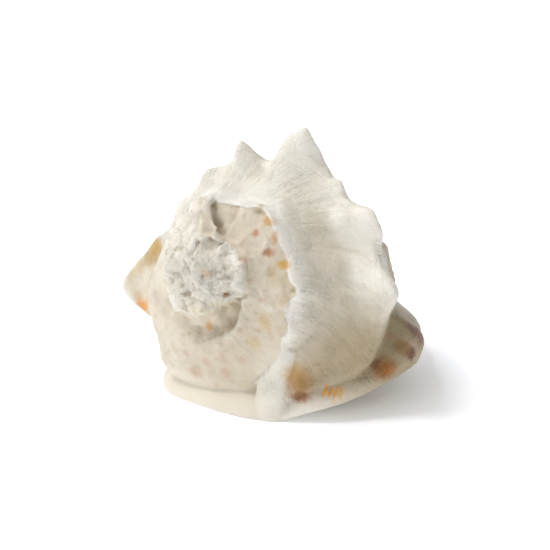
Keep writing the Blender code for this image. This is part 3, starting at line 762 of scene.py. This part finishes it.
# Small brown freckles on the turn before the last.
freckles = node(tree, "ShaderNodeTexVoronoi", {"Vector": position, "Scale": 0.085, "Randomness": 1.0})
freckle = inverted(tree, band(tree, freckles.outputs["Distance"], 0.05, 0.30))
freckle = product(tree, freckle, band(tree, grain, 0.40, 0.62), before_mark, off_base)
colour = mixed(tree, product(tree, freckle, 0.45), colour, (0.46, 0.29, 0.17))

# Brown in the crevices, partly dirt and partly painted shade, stronger higher up, and paler tops where the
# surface is worn.
crevice_dirt_and_shade = maths(tree, "MULTIPLY_ADD", band(tree, spread["Z"], 20.0, 45.0), 0.45, 0.28)
crevice_dirt_and_shade = product(tree, band(tree, crevice_mark, 0.15, 1.1), crevice_dirt_and_shade)
colour = mixed(tree, crevice_dirt_and_shade, colour, (0.33, 0.25, 0.15))
worn = product(tree, band(tree, product(tree, crevice_mark, -1.0), 0.15, 0.8), 0.35)
colour = mixed(tree, worn, colour, (0.90, 0.87, 0.80))

# Stains, freckles and bars that have a place of their own, and large soft tints of the face, the lip and the
# lower left; the two on the lower face and the broad one on the lip's back are partly painted shade.
STAINS = (
    # x, y, z, size, stretch, colour, strength
    (16, -92, 136, 3.6, (1, 1, 1), (0.52, 0.19, 0.09), 0.8),
    (23, -85, 144, 4.8, (0.8, 1, 1.2), (0.58, 0.29, 0.07), 0.75),
    (14, -81, 154, 3.4, (0.8, 1, 1), (0.62, 0.38, 0.14), 0.6),
    (30, -89, 134, 4.2, (1.3, 1, 0.6), (0.56, 0.30, 0.12), 0.7),
    (29, -95, 125, 4.6, (0.8, 1, 1.3), (0.48, 0.20, 0.08), 0.85),
    (40, -92, 117, 5.0, (0.8, 1, 1.1), (0.60, 0.34, 0.06), 0.85),
    (16, -105, 119, 4.4, (0.9, 1, 1.2), (0.50, 0.28, 0.18), 0.5),
    (33, -97, 111, 4.6, (1.1, 1, 0.8), (0.52, 0.36, 0.18), 0.55),
    (21, -106, 106, 3.0, (1, 1, 1), (0.52, 0.32, 0.20), 0.45),
    (31, -104, 77, 6.4, (1, 1, 0.8), (0.64, 0.42, 0.16), 0.55),
    (22, -103, 59, 6.8, (0.8, 1, 1), (0.66, 0.47, 0.20), 0.5),
    (26, -103, 69, 3.4, (1, 1, 1.3), (0.54, 0.34, 0.22), 0.4),
    (36, -102, 67, 4.2, (1.2, 1, 0.8), (0.56, 0.38, 0.22), 0.4),
    (11, -104, 67, 3.0, (1, 1, 1), (0.52, 0.32, 0.22), 0.4),
    (45, -99, 94, 4.4, (1, 1, 0.7), (0.54, 0.38, 0.22), 0.4),
    (29, -105, 93, 3.4, (1, 1, 1.2), (0.54, 0.34, 0.22), 0.45),
    (5, -90, 147, 3.0, (1, 1, 1), (0.50, 0.38, 0.24), 0.4),
    (40, -95, 107, 4.6, (1, 1, 0.8), (0.52, 0.42, 0.24), 0.45),
    (-20, -98, 63, 3.8, (1, 1, 0.8), (0.64, 0.34, 0.12), 0.75),
    (4, -112, 95, 4.0, (0.7, 1, 1.4), (0.28, 0.14, 0.05), 0.85),
    (-5, -99, 30, 4.4, (0.8, 1, 0.8), (0.54, 0.31, 0.20), 0.5),
    (12, -101, 44, 4.6, (0.8, 1, 1.2), (0.56, 0.34, 0.22), 0.4),
    (3, -102, 54, 3.2, (1, 1, 1), (0.56, 0.36, 0.23), 0.35),
    (-7, -100, 41, 4.4, (1, 1, 0.7), (0.56, 0.35, 0.23), 0.4),
    (-22, -100, 35, 4.0, (0.8, 1, 1), (0.56, 0.33, 0.23), 0.45),
    (-40, -100, 39, 3.2, (1, 1, 1), (0.56, 0.34, 0.25), 0.45),
    (-33, -97, 24, 5.0, (0.7, 1, 1), (0.57, 0.34, 0.23), 0.45),
    (-17, -95, 17, 3.6, (1, 1, 1), (0.58, 0.38, 0.26), 0.4),
    (-7, -121, 110, 5.0, (1, 1, 1), (0.74, 0.50, 0.30), 0.55),
    (-18, -108, 78, 11.0, (0.6, 0.8, 2.6), (0.74, 0.66, 0.44), 0.6),
    (4, -110, 84, 9.0, (0.6, 0.8, 2.2), (0.72, 0.62, 0.36), 0.6),
    # Two soft tan tints on the lower face, partly its own tone and partly painted shade.
    (69, -69, 43, 32.0, (1, 0.8, 1), (0.47, 0.38, 0.26), 0.7),
    (88, -62, 52, 26.0, (1, 0.8, 1), (0.48, 0.39, 0.27), 0.6),
    (38, -98, 30, 19.0, (1, 0.8, 0.55), (0.88, 0.85, 0.77), 0.5),
    (54, -77, 34, 14.0, (0.9, 0.8, 0.8), (0.62, 0.49, 0.31), 0.6),
    (45, -90, 38, 8.0, (1, 0.8, 0.8), (0.56, 0.36, 0.12), 0.75),
    (48, -84, 28, 10.5, (0.9, 0.8, 0.8), (0.50, 0.25, 0.05), 0.85),
    (48, -84, 18, 5.6, (0.6, 0.8, 1.3), (0.33, 0.12, 0.03), 0.85),
    # A broad dark tint on the lip's back, partly its brown colour and partly painted shade.
    (94, -20, 45, 60.0, (1, 0.7, 1), (0.38, 0.29, 0.15), 0.8),
    (0, -103, 42, 48.0, (1, 0.6, 1), (0.55, 0.47, 0.33), 0.25),
    (64.5, -75, 22.5, 4.4, (2.2, 0.8, 0.6), (0.76, 0.32, 0.03), 0.9),
    (68.5, -74.5, 22, 4.4, (2.2, 0.8, 0.6), (0.70, 0.29, 0.03), 0.9),
    (72, -73, 22.5, 4.4, (2.2, 0.8, 0.6), (0.72, 0.31, 0.04), 0.85),
    (75.5, -71, 23, 4.0, (2.2, 0.8, 0.6), (0.74, 0.36, 0.07), 0.7),
    (96, -12, 45, 9.0, (1, 0.8, 1), (0.70, 0.46, 0.33), 0.5),
    (94, -42, 36, 11.0, (1, 0.8, 1.1), (0.33, 0.13, 0.02), 0.95),
    (99, -40, 35, 4.0, (1, 0.8, 1), (0.66, 0.24, 0.07), 0.6),
    (89, -46, 39, 5.0, (1, 0.8, 1), (0.24, 0.10, 0.03), 0.85),
    (98, -14, 40, 7.0, (1, 0.9, 1), (0.17, 0.06, 0.03), 0.95),
    (95, -20, 46, 8.0, (1, 0.8, 1), (0.30, 0.17, 0.05), 0.85),
    (86, -21, 53, 5.0, (1, 0.8, 1), (0.42, 0.27, 0.16), 0.8),
    (81, 4, 57, 7.5, (1, 0.8, 1), (0.28, 0.19, 0.08), 0.75),
    (87, 12, 50, 10.0, (1, 0.7, 1), (0.20, 0.08, 0.02), 0.95),
    (93, 15, 43, 10.0, (1, 0.6, 1), (0.20, 0.08, 0.02), 0.95),
    (87, 24, 44, 10.0, (1, 0.7, 1), (0.20, 0.08, 0.02), 0.9),
    (-85, -76, 107, 9.0, (1, 1, 0.7), (0.60, 0.37, 0.09), 0.9),
    (-90, -76, 98, 8.0, (1, 1, 0.8), (0.54, 0.36, 0.14), 0.8),
    (-92, -84, 61, 8.0, (0.8, 1, 1.2), (0.68, 0.30, 0.07), 0.95),
    (-99, -77, 90, 8.0, (1, 1, 0.9), (0.56, 0.42, 0.20), 0.6),
    (-108, -78, 82, 7.0, (1, 1, 0.9), (0.58, 0.45, 0.24), 0.55),
    (-97, -83, 68, 6.0, (1, 1, 1), (0.50, 0.30, 0.14), 0.5),
)
for x, y, z, size, stretch, tint, strength in STAINS:
    # A big stain's outline is less ragged than a small one's.
    mark = node(tree, "ShaderNodeGroup", {
        "Position": position, "Centre": (x, y, z), "Stretch": stretch, "Size": size,
        "Ragged": min(0.8, 2.8 / size)}, node_tree=stain_group)
    colour = mixed(tree, product(tree, mark.outputs["Mask"], strength), colour, tint)

# Darker patches in the hollows between the growth ridges of the last whorl, faint growth lines everywhere
# above the base, darkened along the grooves of the fine relief as painted shade, and cracks, most of them on
# the spire.
ridge_hollow_dark = inverted(tree, band(tree, relief["Ridge"], 0.28, 0.40))
ridge_hollow_dark = product(tree, ridge_hollow_dark, maths(tree, "MULTIPLY_ADD", patchy, 0.25, 0.08), last_mark)
colour = mixed(tree, ridge_hollow_dark, colour, (0.42, 0.36, 0.26))
growth_line_and_shade = maths(tree, "MAXIMUM", inverted(tree, band(tree, fine_relief["Thread"], 0.36, 0.46)),
             inverted(tree, band(tree, fine_relief["Ridge"], 0.36, 0.46)))
growth_line_and_shade = product(tree, growth_line_and_shade, maths(tree, "MULTIPLY_ADD", last_mark, 0.05, 0.08), off_base)
colour = mixed(tree, growth_line_and_shade, colour, (0.45, 0.38, 0.28))
warp = node(tree, "ShaderNodeTexNoise", {"Vector": position, "Scale": 0.12, "Detail": 3.0})
bent = vectors(tree, "ADD", position, scaled(tree, warp.outputs["Color"], 9.0))
cells = node(tree, "ShaderNodeTexVoronoi", {"Vector": bent, "Scale": 0.13}, feature="DISTANCE_TO_EDGE")
crack = product(tree, inverted(tree, band(tree, cells.outputs["Distance"], 0.0, 0.07)),
                band(tree, warp.outputs["Fac"], 0.5, 0.6),
                maths(tree, "MULTIPLY_ADD", spire_mark, 0.85, 0.15), off_base)
colour = mixed(tree, product(tree, crack, 0.6), colour, (0.42, 0.35, 0.25))
tree.links.new(colour, surface.inputs["Base Color"])

# The base is glazed, so it is smoother and its relief is nearly gone.
dull = node(tree, "ShaderNodeMapRange", {0: grain, 1: 0.3, 2: 0.7, 3: 0.42, 4: 0.62}).outputs[0]
tree.links.new(maths(tree, "SUBTRACT", dull, product(tree, on_base, 0.14)), surface.inputs["Roughness"])
surface.inputs["Specular IOR Level"].default_value = 0.4
raised = maths(tree, "MULTIPLY_ADD", fine_relief["Ridge"], 0.7, relief["Ridge"])
raised = maths(tree, "MULTIPLY_ADD", relief["Thread"], 0.7, raised)
raised = maths(tree, "MULTIPLY_ADD", fine_relief["Thread"], 0.5, raised)
raised = product(tree, raised, maths(tree, "MULTIPLY_ADD", last_mark, 0.45, 0.5),
                 maths(tree, "MULTIPLY_ADD", patchy, 0.8, 0.5), inverted(tree, product(tree, on_base, 0.85)))
raised = maths(tree, "MULTIPLY_ADD", grain, maths(tree, "MULTIPLY_ADD", spire_mark, -0.2, 0.35), raised)
raised = maths(tree, "MULTIPLY_ADD", crack, -0.5, raised)
bump = node(tree, "ShaderNodeBump", {"Height": raised, "Strength": 0.85, "Distance": 0.0013})
tree.links.new(bump.outputs["Normal"], surface.inputs["Normal"])

data.materials.clear()
data.materials.append(material)
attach(shell, "root")
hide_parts("helmet_shell")

# The floor
# A plain white sheet that the shell lies on, wide enough to fill the view. It glows faintly away from the
# shell, so that it turns as white as the photograph's ground and keeps its shadow.
FLOOR_REACH = 6.0
corners = [(x, y, 0) for x, y in ((-1, -1), (1, -1), (1, 1), (-1, 1))]
floor_data = bpy.data.meshes.new("floor")
floor_data.from_pydata([Vector(corner) * FLOOR_REACH for corner in corners], [], [(0, 1, 2, 3)])
floor = bpy.data.objects.new("floor", floor_data)
bpy.context.scene.collection.objects.link(floor)
paper = bpy.data.materials.new("white paper")
paper.use_nodes = True
tree = paper.node_tree
sheet = tree.nodes["Principled BSDF"].inputs
sheet["Base Color"].default_value = (0.90, 0.92, 0.96, 1)
sheet["Roughness"].default_value = 0.9
sheet["Specular IOR Level"].default_value = 0.0
sheet["Emission Strength"].default_value = 1.0
off_shell = length_of(tree, node(tree, "ShaderNodeTexCoord").outputs["Object"])
# The glow rises from 0.10 next to the shell to 0.50 a little way off, which lightens the outer part of the
# shell's shadow: painted light on the floor.
glow = node(tree, "ShaderNodeMapRange", {0: off_shell, 1: 0.07, 2: 0.15, 3: 0.10, 4: 0.50}).outputs[0]
glow = maths(tree, "MULTIPLY_ADD", band(tree, off_shell, 0.4, 1.5), 0.6, glow)
tree.links.new(glow, sheet["Emission Color"])
floor_data.materials.append(paper)

# Light and camera
# A big soft light from the upper left, an even white room, and the camera at the photograph's angle, fitted
# to the coil. One pixel is 0.7 mm at the spire's tip.
scene = bpy.context.scene
scene.view_settings.view_transform = "Standard"
room = bpy.data.worlds.new("white room")
room.use_nodes = True
room.node_tree.nodes["Background"].inputs["Color"].default_value = (1, 1, 1, 1)
room.node_tree.nodes["Background"].inputs["Strength"].default_value = 0.45
scene.world = room

AZIMUTH = math.radians(36)
ELEVATION = math.radians(17)
DISTANCE = 1.3
PIXEL = 0.0007
TIP_LEFT_OF_MIDDLE = 77
TIP_BELOW_MIDDLE = 1
back = Vector((math.sin(AZIMUTH) * math.cos(ELEVATION), -math.cos(AZIMUTH) * math.cos(ELEVATION),
               math.sin(ELEVATION)))
right = Vector((math.cos(AZIMUTH), math.sin(AZIMUTH), 0))
over = back.cross(right)
camera = bpy.data.objects.new("camera", bpy.data.cameras.new("camera"))
camera.data.lens = 121.55
camera.data.sensor_width = 36.0
camera.data.clip_start = 0.05
camera.location = Vector(TIP) * MM + back * DISTANCE
aim = Vector(TIP) * MM + right * (TIP_LEFT_OF_MIDDLE * PIXEL) + over * (TIP_BELOW_MIDDLE * PIXEL)
camera.rotation_euler = (aim - camera.location).to_track_quat("-Z", "Y").to_euler()
scene.collection.objects.link(camera)
scene.camera = camera

LIT_HEIGHT = 0.09
lamp = bpy.data.lights.new("main light", "AREA")
lamp.shape = "SQUARE"
lamp.size = 0.8
lamp.energy = 19.0
to_lamp = back * 0.15 - right * 0.85 + Vector((0, 0, 1.35))
lamp_object = bpy.data.objects.new("main light", lamp)
lamp_object.location = Vector((0, 0, LIT_HEIGHT)) + to_lamp
lamp_object.rotation_euler = (-to_lamp).to_track_quat("-Z", "Y").to_euler()
scene.collection.objects.link(lamp_object)
